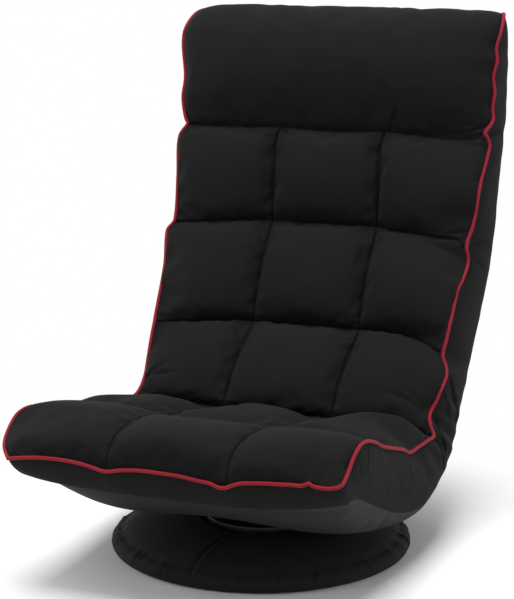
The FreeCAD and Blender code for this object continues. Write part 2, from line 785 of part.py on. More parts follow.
def make_rear_pad(clear):
    """Smooth padded back panel, with a wedge that closes it under the hinge."""
    shares = [s for row in range(3) for s, _, _, _ in back_row_stations(row)[:-1]]
    shares += [s for s, _, _ in headrest_stations()]
    pad = loft([plain_section(back_point, s, back_width(s), rear_depth(s), rear_depth(s) + rear_pad_sag, -1)
                for s in shares])
    start = back_point(0.0, -rear_depth(0.0))
    heading = math.degrees(math.atan2(start[1] - pivot[1], start[0] - pivot[0]))
    tail = polar(pivot, knuckle_radius + 6, rear_pad_foot)
    bow = polar(pivot, rear_depth(0.0) - 1, heading - 9)
    w = back_half_widths[0]
    outline = Part.Wire([line(at(-w, pivot), at(-w, tail)), arc(at(-w, tail), at(-w, bow), at(-w, start)),
                         line(at(-w, start), at(-w, pivot))])
    return pad.fuse(prism(outline, -w, w)).cut(clear)


def seat_width(distance):
    return mix(seat_half_width, seat_front_half_width, distance / seat_front_row[-1][0])


def make_seat_cushion(clear):
    """Two rows of three cells, with a round knuckle that fills the hinge line."""
    rows = []
    for table in (seat_rear_row, seat_front_row):
        rows.append(loft([cushion_section(seat_point, d, seat_width(d), e, c, k, side)
                          for d, e, c, k, side in table]))
    w = knuckle_half_width
    knuckle = x_rod(pivot, knuckle_radius, -w, w)
    web = prism(polygon([pivot, seat_point(0, seat_rear_row[0][2] - 6), seat_point(0)], -w), -w, w)
    return rows[0].fuse([rows[1], knuckle, web]).removeSplitter().cut(clear)


def sweep_zone():
    """Sector below the hinge that the back passes through when it reclines."""
    corners = [pivot] + [polar(pivot, cutter_reach, sweep_foot + turn) for turn in (0, 60, 120)]
    return prism(polygon(corners, -cutter_reach), -cutter_reach, cutter_reach)


def belly_section(distance, half_width, depth, middle):
    """Closed cross-section below the rails with rounded lower corners."""
    w = half_width
    inset = belly_corner * depth
    p = [at(x, seat_point(distance, -h)) for x, h in
         ((w, 0), (-w, 0), (inset * 0.14 - w, depth * 0.6), (inset - w, depth), (0, middle),
          (w - inset, depth), (w - inset * 0.14, depth * 0.6))]
    return Part.Wire([line(p[0], p[1]), arc(p[1], p[2], p[3]), arc(p[3], p[4], p[5]), arc(p[5], p[6], p[0])])


def make_underside(clear):
    """Bellied pad below the seat rails, cut away behind for the reclining back."""
    sections = []
    for distance, depth, sag in underside_stations:
        sections.append(belly_section(distance, seat_width(distance) - underside_inset, depth, depth + sag))
    front = seat_front_row[-1][0]
    w = seat_width(front) - underside_inset
    last = underside_stations[-1]
    nose = [seat_point(last[0]), seat_point(last[0], -last[1]),
            seat_point(front - underside_nose / 2, -underside_nose), seat_point(front)]
    lip = prism(polygon(nose, -w), -w, w)
    overlap = 4
    tail_outline = [seat_point(overlap), seat_point(0), pivot, polar(pivot, 2 * knuckle_radius, sweep_foot),
                    seat_point(overlap, -underside_tail_depth)]
    tail = prism(polygon(tail_outline, -w), -w, w)
    knuckle = x_rod(pivot, knuckle_radius + cushion_gap, -cutter_reach, cutter_reach)
    return loft(sections).fuse([lip, tail]).cut(sweep_zone()).cut(knuckle).cut(clear)


def piping_run(point_at, stations, width_at, side, straight):
    """Cord along the edge of a row, just outside the cushion's corner."""
    loops = []
    for place, edge in stations:
        x = side * (width_at(place) + piping_radius + 2 * cushion_gap)
        h = edge + 0.5
        spots = [at(x + side * piping_radius * math.cos(a), point_at(place, h + piping_radius * math.sin(a)))
                 for a in [k * math.pi / 3 for k in range(6)]]
        loops.append(Part.Wire([arc(spots[0], spots[1], spots[2]), arc(spots[2], spots[3], spots[4]),
                                arc(spots[4], spots[5], spots[0])]))
    return Part.makeLoft(loops, True, straight)


def joined(pieces):
    return pieces[0].fuse(pieces[1:]).removeSplitter()


def make_back_piping():
    runs = []
    for side in (-1, 1):
        for row in range(3):
            stations = [(s, e) for s, e, _, _ in back_row_stations(row)]
            if row == 0:
                stations = stations[1:]
            runs.append(piping_run(back_point, stations, back_width, side, True))
        stations = [(s, e) for s, e, _ in headrest_stations()]
        runs.append(piping_run(back_point, stations, back_width, side, True))
    return joined(runs)


def make_seat_piping():
    """Both sides and the wavy front edge of the quilted seat panel."""
    runs = []
    for side in (-1, 1):
        for table in (seat_rear_row[1:], seat_front_row):
            runs.append(piping_run(seat_point, [(row[0], row[1]) for row in table], seat_width, side, False))
    end = seat_front_row[-1]
    front = end[0] + piping_radius + cushion_gap
    corner_x = seat_width(end[0]) + piping_radius + 2 * cushion_gap
    level = end[1] + 0.5
    corner = at(corner_x, seat_point(end[0], level))
    xs = (corner_x, column_seam_x, -column_seam_x, -corner_x)
    levels = (level, level - piping_dip, level - piping_dip, level)
    for k in range(3):
        a = at(xs[k], seat_point(front, levels[k]))
        b = at(xs[k + 1], seat_point(front, levels[k + 1]))
        top = max(levels[k], levels[k + 1]) + 1
        m = at((xs[k] + xs[k + 1]) / 2, seat_point(front + piping_front_bulge, top))
        runs.append(pipe(Part.Wire([arc(a, m, b)]), piping_radius))
    for k in range(4):
        runs.append(Part.makeSphere(piping_radius, at(xs[k], seat_point(front, levels[k]))))
    for side in (-1, 1):
        start = V(side * corner.x, corner.y, corner.z)
        runs.append(rod(start, V(side * corner.x, *seat_point(front, level)), piping_radius))
    return joined(runs)


# Clearances that the pads leave round the frame

def slot(shape_maker):
    """The same pocket on both sides of the chair."""
    right = shape_maker()
    return [right, right.mirror(V(0, 0, 0), V(1, 0, 0))]


def seat_pocket():
    return link(pivot, seat_slot_radius, seat_rail_start, frame_tube_radius + 3,
                rail_x - slot_half, rail_x + slot_half)


def back_pocket():
    return link(pivot, cheek_radius + 1, back_rail_start, frame_tube_radius + 8,
                rail_x - slot_half, rail_x + slot_half)


def joint_pocket(start, end):
    return rod(start, end, frame_tube_radius + cushion_gap)


grown = frame_tube_radius + cushion_gap
seat_tube_path = seat_route()
back_tube_path = back_route()
seat_mouth = joint_pocket(at(rail_x, seat_point(-collar_length)), at(rail_x, seat_point(1)))
back_mouth = joint_pocket(at(rail_x, polar(pivot, back_rail_offset - collar_length - 1, back_heading)),
                          at(rail_x, polar(pivot, back_rail_offset + 1, back_heading)))
seat_clear = [pipe(seat_tube_path, grown)] + slot(seat_pocket) + slot(lambda: seat_mouth)
seat_clear += seat_rods(rod_radius + cushion_gap, -cushion_gap)
strap_clear = [strap_solid(y, cushion_gap) for y in (-strap_y, strap_y)]
bolt_room = [Part.makeCylinder(strap_bolt_radius + 4, upper_plate_top + strap_thickness + 6, p)
             for p in strap_bolt_places()]
pin_room = [Part.makeCylinder(king_pin_head_radius + 2, upper_plate_top + 5)]
plate_room = [Part.makeCylinder(upper_plate_radius + 3, upper_plate_top + 1)]
back_clear = [pipe(back_tube_path, grown)] + slot(back_pocket) + slot(lambda: back_mouth)
back_clear += back_rods(rod_radius + cushion_gap, -cushion_gap)
back_clear.append(x_rod(pivot, knuckle_radius + cushion_gap, -cutter_reach, cutter_reach))

save("base_ring", make_base_ring())
save("base_spokes", make_base_spokes())
save("base_hub_plate", make_hub_plate())
save("base_cover", make_base_cover())
save("base_floor_pad", make_base_pad())
save("turntable_lower_plate", make_lower_plate())
save("turntable_upper_plate", make_upper_plate())
save("turntable_cage", make_cage())
save("turntable_balls", make_balls())
save("turntable_king_pin", make_king_pin())
save("base_bolts", make_base_bolts())

collars = [rod(at(x, seat_point(-collar_length)), at(x, seat_point(0)), frame_tube_radius + weld_gap)
           for x in (-rail_x, rail_x)]
weld_rails = pipe(seat_tube_path, frame_tube_radius + weld_gap).fuse(collars)
save("seat_frame", tube(seat_tube_path))
save("seat_cross_rods", Part.makeCompound(seat_rods(rod_radius, weld_gap)))
save("seat_strap_front", make_strap(-strap_y, weld_rails))
save("seat_strap_rear", make_strap(strap_y, weld_rails))
save("seat_strap_bolts", make_strap_bolts())
both_sides("seat_hinge_arm", make_seat_hinge_arm())
both_sides("back_hinge_arm", make_back_hinge_arm())
both_sides("hinge_rivet", headed_pin(pivot, rivet_radius, rivet_radius + 4, rivet_head))
both_sides("pawl_pin", headed_pin(pawl_pivot, pawl_pin_radius, pawl_pin_radius + 2, 1.5))
both_sides("pawl", make_pawl())
both_sides("pawl_spring", make_pawl_spring())
save("back_frame", tube(back_tube_path))
save("back_cross_rods", Part.makeCompound(back_rods(rod_radius, weld_gap)))

save("seat_cushion", make_seat_cushion(seat_clear))
save("seat_underside", make_underside(seat_clear + strap_clear + bolt_room + pin_room + plate_room))
save("back_cushion", make_back_cushion(back_clear))
save("back_rear_pad", make_rear_pad(back_clear))
save("headrest_cushion", make_headrest(back_clear))
save("seat_piping", make_seat_piping())
save("back_piping", make_back_piping())
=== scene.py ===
import math

import bmesh
import bpy
import numpy as np
from mathutils import Matrix, Vector, noise


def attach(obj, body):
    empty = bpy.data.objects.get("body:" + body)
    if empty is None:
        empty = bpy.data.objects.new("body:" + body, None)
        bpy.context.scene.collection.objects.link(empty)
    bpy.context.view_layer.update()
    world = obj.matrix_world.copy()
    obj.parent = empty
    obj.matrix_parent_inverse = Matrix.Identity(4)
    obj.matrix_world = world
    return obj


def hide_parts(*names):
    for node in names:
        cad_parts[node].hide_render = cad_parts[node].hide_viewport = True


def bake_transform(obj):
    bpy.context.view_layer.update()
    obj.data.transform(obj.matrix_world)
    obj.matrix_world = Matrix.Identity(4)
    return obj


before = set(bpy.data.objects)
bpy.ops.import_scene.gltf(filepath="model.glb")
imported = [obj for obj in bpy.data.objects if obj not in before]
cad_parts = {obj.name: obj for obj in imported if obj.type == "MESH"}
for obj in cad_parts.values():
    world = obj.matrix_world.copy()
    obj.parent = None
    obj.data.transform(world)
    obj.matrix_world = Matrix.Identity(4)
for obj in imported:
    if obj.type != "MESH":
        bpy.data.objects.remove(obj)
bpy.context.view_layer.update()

# Lengths in the tables below are millimetres in the chair's own frame:
# x to the right of the photograph, y towards the rear, z up.
MM = 0.001


# Drawing helpers

def track(knots):
    """A smooth curve through rows (place, a, b, ...), as a function of place."""
    rows = np.array(knots, float)
    t, values = rows[:, 0], rows[:, 1:]
    steps = np.diff(values, axis=0) / np.diff(t)[:, None]
    slopes = np.vstack([steps[:1], (steps[:-1] + steps[1:]) / 2, steps[-1:]])

    def at(place):
        place = np.clip(np.atleast_1d(np.asarray(place, float)), t[0], t[-1])
        k = np.clip(np.searchsorted(t, place, side="right") - 1, 0, len(t) - 2)
        h = (t[k + 1] - t[k])[:, None]
        s = ((place - t[k]) / (t[k + 1] - t[k]))[:, None]
        return (values[k] * (2 * s ** 3 - 3 * s ** 2 + 1) + values[k + 1] * (3 * s ** 2 - 2 * s ** 3)
                + h * slopes[k] * (s ** 3 - 2 * s ** 2 + s) + h * slopes[k + 1] * (s ** 3 - s ** 2))

    return at


def spaced(count, crowding):
    """Count steps from 0 to 1, closer together at both ends."""
    t = np.linspace(0, 1, count + 1)
    return t - crowding * np.sin(2 * np.pi * t) / (2 * np.pi)


def puff(t, flat=2.4, shoulder=0.55):
    """Profile of stuffed cloth between two seams."""
    return np.clip(1 - np.abs(2 * t - 1) ** flat, 0, 1) ** shoulder


def near(value, centre, width):
    return np.exp(-((value - centre) / width) ** 2)


def unit(v):
    return v / np.maximum(np.linalg.norm(v, axis=-1, keepdims=True), 1e-9)


def smooth_rows(values, width):
    """Directions along a line, each averaged with those up to width rows before and after it."""
    kernel = np.ones(2 * width + 1) / (2 * width + 1)
    longer = np.pad(values, ((width, width), (0, 0)), mode="edge")
    return unit(np.stack([np.convolve(column, kernel, mode="valid") for column in longer.T], axis=1))


# Meshes and pieces

def placed(name, data):
    """A new object at the origin that shows the data."""
    piece = bpy.data.objects.new(name, data)
    bpy.context.collection.objects.link(piece)
    return piece


def choose(piece):
    bpy.ops.object.select_all(action="DESELECT")
    piece.select_set(True)
    bpy.context.view_layer.objects.active = piece


def shade_smooth(piece):
    choose(piece)
    bpy.ops.object.shade_smooth()


def points_of(piece):
    flat = np.zeros(len(piece.data.vertices) * 3)
    piece.data.vertices.foreach_get("co", flat)
    return flat.reshape(-1, 3)


def normals_of(piece):
    flat = np.zeros(len(piece.data.vertices) * 3)
    piece.data.vertex_normals.foreach_get("vector", flat)
    return flat.reshape(-1, 3)


def set_points(piece, points):
    piece.data.vertices.foreach_set("co", points.ravel())
    piece.data.update()


def rework(mesh, change):
    """Makes one change, a function of the mesh's editable form."""
    work = bmesh.new()
    work.from_mesh(mesh)
    change(work)
    work.to_mesh(mesh)
    work.free()


def cloth_mesh(name, points, inside):
    """A sheet from a grid of points in mm, facing away from the point inside.
    Its UV map is the cloth's own length in metres."""
    rows, columns = points.shape[:2]
    across = np.zeros((rows, columns))
    across[:, 1:] = np.cumsum(np.linalg.norm(np.diff(points, axis=1), axis=2), axis=1)
    across -= across.mean(axis=1, keepdims=True)
    along = np.zeros((rows, columns))
    along[1:] = np.cumsum(np.linalg.norm(np.diff(points, axis=0), axis=2), axis=0)
    along = np.repeat(along.mean(axis=1, keepdims=True), columns, axis=1)
    index = np.arange(rows * columns).reshape(rows, columns)
    corners = [index[:-1, :-1], index[:-1, 1:], index[1:, 1:], index[1:, :-1]]
    faces = np.stack(corners, axis=-1).reshape(-1, 4)
    flat = points.reshape(-1, 3)
    a, b, c = flat[faces[:, 0]], flat[faces[:, 1]], flat[faces[:, 3]]
    outward = np.einsum("ij,ij->i", np.cross(b - a, c - a), a - np.array(inside)).sum()
    if outward < 0:
        faces = faces[:, ::-1]
    mesh = bpy.data.meshes.new(name)
    mesh.from_pydata((flat * MM).tolist(), [], faces.tolist())
    uv = mesh.uv_layers.new(name="cloth")
    places = np.stack([across, along], axis=-1).reshape(-1, 2) * MM
    corner_vertices = np.zeros(len(mesh.loops), int)
    mesh.loops.foreach_get("vertex_index", corner_vertices)
    uv.data.foreach_set("uv", places[corner_vertices].ravel())
    return placed(name, mesh)


# What the cloths have in common as they swell, and the ripple, in metres, that they start with
cloth_values = {"quality": 5, "mass": 0.3, "tension_stiffness": 25, "compression_stiffness": 25,
                "shear_stiffness": 8, "tension_damping": 15, "compression_damping": 15, "air_damping": 3,
                "vertex_group_mass": "sewn", "use_pressure": True}
ripple_grain = 45.0
ripple_height = 0.0008
calm_share = 0.2


def mark(piece, name, points):
    piece.vertex_groups.new(name=name).add([int(k) for k in points], 1.0, "REPLACE")


def settle(piece, sewn, ease, push, stiff, frames, cap, calm=()):
    """Lets the cloth swell between its seams, which stay where they are, by at most cap mm.
    Ease is the share of spare cloth, and the calm points have little of it, so they stay smooth."""
    start = points_of(piece)
    loose = np.ones(len(start), bool)
    loose[sewn] = False
    ripple = np.array([noise.noise_vector(Vector(p) * ripple_grain) for p in start]) * ripple_height
    set_points(piece, start + ripple * loose[:, None])
    mark(piece, "sewn", sewn)
    cloth = piece.modifiers.new("cloth", "CLOTH")
    for key, value in cloth_values.items():
        setattr(cloth.settings, key, value)
    cloth.settings.bending_stiffness = stiff
    cloth.settings.shrink_min = -ease
    if len(calm):
        mark(piece, "calm", calm)
        cloth.settings.vertex_group_shrink = "calm"
        cloth.settings.shrink_max = -calm_share * ease
    cloth.settings.uniform_pressure_force = push
    cloth.settings.effector_weights.gravity = 0
    cloth.collision_settings.use_collision = False
    cloth.point_cache.frame_start = 1
    cloth.point_cache.frame_end = frames
    for k in range(1, frames + 1):
        bpy.context.scene.frame_set(k)
    choose(piece)
    bpy.ops.object.modifier_apply(modifier="cloth")
    bpy.context.scene.frame_set(1)
    moved = points_of(piece) - start
    length = np.linalg.norm(moved, axis=1, keepdims=True)
    limit = np.broadcast_to(np.reshape(cap, (-1, 1)) * MM, length.shape)
    set_points(piece, start + moved * limit * np.tanh(length / limit) / np.maximum(length, 1e-9))
    piece.vertex_groups.clear()


def sink(piece, shape, sewn, depth):
    """Pulls the seam lines inside the piece down into the padding, as their thread does: one depth in mm, or
    one for each row."""
    inner = np.zeros(shape[0] * shape[1], bool)
    inner[sewn] = True
    inner = inner.reshape(shape[:2])
    inner[0] = inner[-1] = inner[:, 0] = inner[:, -1] = False
    down = (inner * np.reshape(depth, (-1, 1))).reshape(-1, 1) * MM
    set_points(piece, points_of(piece) - normals_of(piece) * down)


def press(piece, line, depth, width):
    """Presses a crease into the cloth along a line of points in mm, or raises a fold where depth is below 0.
    It fades out at both ends."""
    here = points_of(piece) / MM
    knots = [here[np.linalg.norm(here - np.array(p, float), axis=1).argmin()] for p in line]
    steps = 40 * len(knots)
    crease = track([(k, *p) for k, p in enumerate(knots)])(np.linspace(0, len(knots) - 1, steps))
    reach = 3 * width
    beside = (here > crease.min(axis=0) - reach) & (here < crease.max(axis=0) + reach)
    close = np.flatnonzero(beside.all(axis=1))
    gaps = np.linalg.norm(here[close][:, None] - crease[None], axis=2)
    along = np.clip(gaps.argmin(axis=1) / (steps - 1), 0.04, 0.96)
    sunk = depth * near(gaps.min(axis=1), 0.0, width) * np.clip(np.sin(np.pi * along), 0, 1) ** 0.6
    here[close] -= normals_of(piece)[close] * sunk[:, None]
    set_points(piece, here * MM)


def refine(piece):
    """Divides each face in four and rounds the cloth."""
    choose(piece)
    smooth = piece.modifiers.new("smooth", "SUBSURF")
    smooth.levels = 1
    smooth.render_levels = 1
    bpy.ops.object.modifier_apply(modifier="smooth")
    shade_smooth(piece)


# The lines that the cover is sewn along, from the rear of the headrest (0) down the back
# (1 to 3), over the fold (4) and along the seat (5) to the front edge (6)

edge_line = track([
    (0.0, 236, 405, 768), (0.1, 250, 385, 776), (0.2, 257, 361, 771), (0.3, 257, 343, 747),
    (0.38, 252.5, 338, 727), (0.46, 256, 333, 708), (0.57, 251.5, 328, 684), (0.67, 255.5, 324, 661),
    (0.78, 253.5, 320, 636), (0.88, 256, 317, 620), (0.94, 254, 312, 611), (0.98, 250, 304, 604),
    (1.0, 248, 299, 599), (1.03, 252, 301, 592), (1.1, 255, 304, 579), (1.17, 254, 300, 567),
    (1.3, 252, 291, 551), (1.45, 250, 279, 530), (1.6, 249, 268, 510), (1.72, 248, 263, 492),
    (1.82, 246, 260, 472), (1.9, 243, 253, 453), (1.95, 240, 248, 442), (2.0, 239, 242, 430),
    (2.06, 241, 242, 418), (2.12, 242, 242, 407), (2.3, 241, 218, 384), (2.5, 239, 199, 371),
    (2.8, 237, 166, 323), (2.92, 235, 155, 300), (3.0, 233, 145, 279), (3.06, 238, 141, 269),
    (3.16, 245, 127, 257), (3.35, 244, 108, 241), (3.6, 238, 95, 219), (3.72, 234, 88, 209),
    (3.82, 234, 78, 200), (3.92, 240, 68, 188), (4.0, 246, 62, 177), (4.1, 246, 36, 177.5),
    (4.27, 244.5, -5, 178), (4.42, 243, -43, 179), (4.6, 243, -76, 192), (4.8, 243, -118, 205),
    (5.0, 242, -168, 221), (5.15, 243, -195, 233), (5.28, 243, -212, 239), (5.42, 244, -235, 246),
    (5.55, 244, -259, 249), (5.64, 244, -276, 246), (5.75, 242, -293, 234), (5.83, 242, -305, 225),
    (5.9, 243, -325, 216), (5.96, 243, -336, 213), (6.0, 239, -340, 211)])
left_edge_line = track([
    (0.0, 236, 405, 768), (0.08, 246, 390, 773), (0.18, 258, 364, 768), (0.28, 268, 345, 748),
    (0.42, 271, 337, 720), (0.58, 260, 320, 671), (0.8, 260, 309, 632), (0.94, 252, 301, 602),
    (1.0, 248, 300, 593), (1.07, 255, 296, 582), (1.17, 259, 292, 572), (1.6, 252, 268, 510),
    (1.94, 246, 244, 450), (2.0, 247, 240, 440), (2.06, 255, 236, 430), (2.14, 256, 231, 421),
    (2.45, 247, 203, 378), (2.95, 238, 144, 302), (3.0, 237, 139, 296), (3.1, 236, 126, 276),
    (3.4, 233, 105, 245), (3.75, 229, 80, 216), (4.0, 230, 54, 198), (4.2, 238, 22, 190),
    (4.42, 243, -35, 180), (4.6, 244, -62, 191), (4.8, 244, -98, 204), (5.0, 244, -151, 223),
    (5.35, 250, -227, 245), (5.5, 255, -258, 248), (5.58, 261, -270, 242), (5.72, 262, -296, 224),
    (5.88, 253, -323, 209), (6.0, 238, -340, 199)])
# Height of the piping along the front edge, from the left corner to the right one
front_edge = track([
    (-238, 199), (-214, 203.5), (-185, 206.5), (-150, 207), (-127, 205), (-105, 201), (-90, 198),
    (-67, 202), (-37, 205), (-8, 204.5), (21, 203.5), (50, 200), (65, 198.5), (76, 194.5), (86, 194.5),
    (96, 199), (107, 203), (122, 205), (143, 207), (164, 208), (178, 209), (192, 209), (198, 211),
    (203, 213.5), (208, 210.5), (218, 209), (229, 209), (239, 211)])
rear_line = track([
    (0.0, 236, 405, 768), (0.1, 243, 412, 757), (0.3, 248, 422, 722), (0.6, 250, 426, 670),
    (0.88, 250, 420, 615), (1.0, 249, 413, 590), (1.14, 248, 405, 560), (1.6, 247, 390, 490),
    (2.0, 249, 362, 414), (2.5, 247, 315, 325), (3.0, 245, 256, 244), (3.5, 246, 200, 180),
    (3.8, 248, 166, 144), (4.0, 248, 138, 120), (4.2, 248, 97, 100), (4.4, 249, 48, 88),
    (4.55, 249, 12, 85), (4.7, 246, -24, 87), (4.95, 241, -81, 100), (5.25, 240, -150, 126),
    (5.5, 241, -225, 158), (5.75, 242, -266, 174), (6.0, 240, -301, 176)])
column_line = track([
    (1.0, 303, 595), (1.1, 299, 583), (1.5, 278, 524), (1.9, 268, 462), (2.0, 267, 449), (2.1, 261, 437),
    (2.5, 220, 379), (2.9, 188, 313), (3.0, 185, 300), (3.1, 174, 289), (3.5, 117, 251), (3.9, 67, 200),
    (4.0, 61, 189), (4.15, 32, 188), (4.5, -38, 207), (4.85, -122, 224), (5.0, -150, 227),
    (5.2, -192, 238), (5.4, -235, 245), (5.65, -289, 245), (5.82, -322, 235), (5.93, -340, 217),
    (6.0, -344, 197)])
pillow_line = track([
    (0.0, 405, 768), (0.06, 386, 781), (0.14, 362, 785), (0.23, 336, 777), (0.32, 314, 757),
    (0.42, 300, 730), (0.55, 291, 704), (0.68, 286, 676), (0.8, 285, 648), (0.91, 290, 620),
    (0.97, 297, 604), (1.0, 303, 595)])

# Half the width of the middle column, the cloth's steps in each row and column, and how high the middle of
# each cell of the back stands over its seams
column_x = 88.0
row_steps = (50, 30, 30, 32, 40, 46)
column_steps = (30, 34, 30)
back_crowns = (0.0, 26.0, 26.0, 24.0)
# The same height for the seat's cells: left, middle and right column
seat_crowns = track([
    (4.0, 0, 0, 0), (4.05, 6, 9, 12), (4.15, 12, 14, 24), (4.3, 19, 15, 28), (4.5, 23, 13, 24),
    (4.75, 25, 8, 15), (4.93, 16, 2, 7), (5.0, 10, -1, 3), (5.07, 9, -1, 2), (5.2, 10, -1, 2),
    (5.4, 11, 2, 5), (5.6, 12, 9, 10), (5.75, 14, 13, 14), (5.88, 12, 12, 12), (6.0, 0, 0, 0)])
# Swells and hollows in the seat's cells, for each column: height, then place and length along the seat, then
# place and width across the column
seat_swells = (
    ((10.0, 4.88, 0.2, 0.2, 0.17), (-3.0, 4.7, 0.15, 0.48, 0.15)),
    ((-7.0, 4.5, 0.3, 0.22, 0.15),),
    ((-7.0, 4.5, 0.3, 0.22, 0.15), (13.0, 4.17, 0.15, 0.74, 0.2)))

# The front edge: where it lies at the corners, and how far its middle stands before them
front_y = -340
front_half_width = 239.0
front_bow_depth = 4.0

# How much closer together the cloth's rows lie at the cross seams, and the band's and panel's lines at their
# two edges
quilt_crowding = 0.55
band_crowding = 0.3
under_crowding = 0.2
edge_crowding = 0.3


def grid_places(steps, crowding):
    """Places that go up by 1 in each part, a row or a column, in that part's count of steps."""
    places = [0.0]
    for part, count in enumerate(steps):
        places += list(part + spaced(count, crowding)[1:])
    return np.array(places)


def front_bow(x):
    return front_bow_depth * np.clip(1 - np.abs(x / front_half_width) ** 4, 0, 1)


# Quilted panel: headrest pillow, nine cells on the back, six on the seat. Here v is the place on the way from
# the rear of the headrest (0) to the front edge (6), u the place from the left edge (0) to the right one (3),
# and t the place across one column

def seam_lift(v, column, t):
    """How far a cross seam stands above the line of the column seams. Under the pillow it droops between
    them. At the right it turns up to the piping there, and down to it one row lower."""
    under_pillow = near(v, 1.0, 0.12)
    if column < 2:
        return (-2.5, -4.0)[column] * np.sin(np.pi * t) * under_pillow
    hook = 9.0 * near(v, 1.0, 0.1) - 13.0 * near(v, 2.0, 0.07)
    slant = 13.0 * t - 4.5 * min(1.0, 6 * t)
    return -9.0 * min(1.0, 1.6 * t) * under_pillow + hook * near(t, 1.0, 0.05) + slant * near(v, 2.0, 0.07)


def cell_height(v, column, t, share):
    """How far the stuffing lifts the cloth of a column over the seams. The share goes from the column seam
    (0) to the piping (1)."""
    row = v.astype(int)
    back = puff(v - row) * np.array(back_crowns)[np.minimum(row, 3)]
    # The seat's cells rise slowly from the column seams, slowest next to the fold, and fall more steeply to
    # the piping
    if share < 0.5:
        shoulder = 0.85 + 1.5 * near(v, 4.0, 0.42)
    else:
        shoulder = 0.5 + 0.35 * near(v, 4.1, 0.4)
    height = np.where(v < 4, back * puff(t), seat_crowns(v)[:, column] * puff(t, 2.2, 1.0) ** shoulder)
    for swell, place, length, side, width in seat_swells[column]:
        height += swell * near(v, place, length) * near(t, side, width)
    return height


def quilt_points():
    v = grid_places(row_steps, quilt_crowding)
    u = grid_places(column_steps, quilt_crowding)
    edges = {-1: left_edge_line(v), 1: edge_line(v)}
    seam = column_line(v)
    pillow = pillow_line(v)
    slope = unit(np.gradient(seam, axis=0))
    outward = np.stack([np.zeros(len(v)), slope[:, 1], -slope[:, 0]], axis=1)
    pillow_rows = v < 1
    pillow_foot = np.clip((v - 0.72) / 0.28, 0, 1)
    grid = np.zeros((len(v), len(u), 3))
    for j, place in enumerate(u):
        column = min(int(place), 2)
        t = place - column
        side = -1 if place < 1.5 else 1
        share = (1 - t, 0.0, t)[column]
        edge = edges[side]
        half = edge[:, 0]
        if column == 1:
            x = np.full(len(v), (2 * t - 1) * column_x)
        else:
            x = side * (column_x + (half - column_x) * share)
        # The column seams lean a little to the left just under the pillow
        x -= 4.0 * near(v, 1.22, 0.2) * (1 - share)
        bend = share ** (1.15 + 1.8 * near(v, 3.0, 0.2) * (side > 0))
        yz = seam + (edge[:, 1:] - seam) * bend[:, None]
        yz[:, 1] += seam_lift(v, column, t)
        # The outer cells lean out over the piping
        lean = share ** 3
        lift = outward * (1 - 0.5 * lean)
        lift[:, 0] = side * 0.7 * lean
        grid[:, j] = np.column_stack([x, yz]) + lift * cell_height(v, column, t, share)[:, None]
        # The headrest pillow is one wide cell that falls to the edges
        full = np.clip(1 - (np.abs(x) / half) ** 5, 0, 1) ** 0.5
        base = edge[:, 1:] + (seam - edge[:, 1:]) * ((1 - share ** 1.15) * pillow_foot)[:, None]
        dome = base + (pillow - base) * full[:, None]
        grid[pillow_rows, j] = np.column_stack([x, dome])[pillow_rows]
    # The front rows come down to the piping
    x = grid[-1, :, 0]
    target = np.stack([front_y - front_bow(x), front_edge(x)[:, 0]], axis=1)
    grid[:, :, 1:] += (target - grid[-1, :, 1:])[None] * near(v, 6.0, 0.1)[:, None, None]
    on_row = np.abs(v - np.round(v)) < 1e-6
    on_column = np.abs(u - np.round(u)) < 1e-6
    sewn = on_row[:, None] | (on_column[None] & (v >= 1)[:, None])
    sewn[:, 0] = sewn[:, -1] = True
    return grid, np.flatnonzero(sewn.ravel())


# Boxing: the band between the piping and the rear and lower seam, all the way round

front_steps = 120
boxing_steps = 22
lower_front_y = -303
lower_front_z = 176
front_dip = 21.0
left_corner_drop = 8.0


def loop_points():
    """The piping line and the lower line along the band: right side, front, left side. With them come the
    row of each point and its share of the way along the front, 0 on the right side and 1 on the left."""
    v = grid_places(row_steps, band_crowding)
    upper, upper_left, lower = edge_line(v), left_edge_line(v), rear_line(v)
    t = np.linspace(0, 1, front_steps + 1)[1:-1]
    x = upper[-1, 0] * (1 - t) - upper_left[-1, 0] * t
    bow = front_bow(x)
    front_up = np.stack([x, front_y - bow, front_edge(x)[:, 0]], axis=1)
    # The left front corner hangs lower than the right one
    lower_left = lower.copy()
    lower_left[:, 2] -= left_corner_drop * np.clip((v - 5.6) / 0.4, 0, 1) ** 2
    low_x = (1 - 2 * t) * lower[-1, 0]
    dip = front_dip * np.clip(1 - np.abs(2 * t - 1) ** 3, 0, 1) + left_corner_drop * near(t, 1.0, 0.18)
    front_low = np.stack([low_x, lower_front_y - bow * 0.5, lower_front_z - dip], axis=1)
    mirror = np.array([-1.0, 1.0, 1.0])
    top = np.vstack([upper, front_up, upper_left[::-1] * mirror])
    bottom = np.vstack([lower, front_low, lower_left[::-1] * mirror])
    row = np.concatenate([v, np.full(len(t), 6.0), v[::-1]])
    turn = np.concatenate([np.zeros(len(v)), t, np.ones(len(v))])
    return top, bottom, row, turn


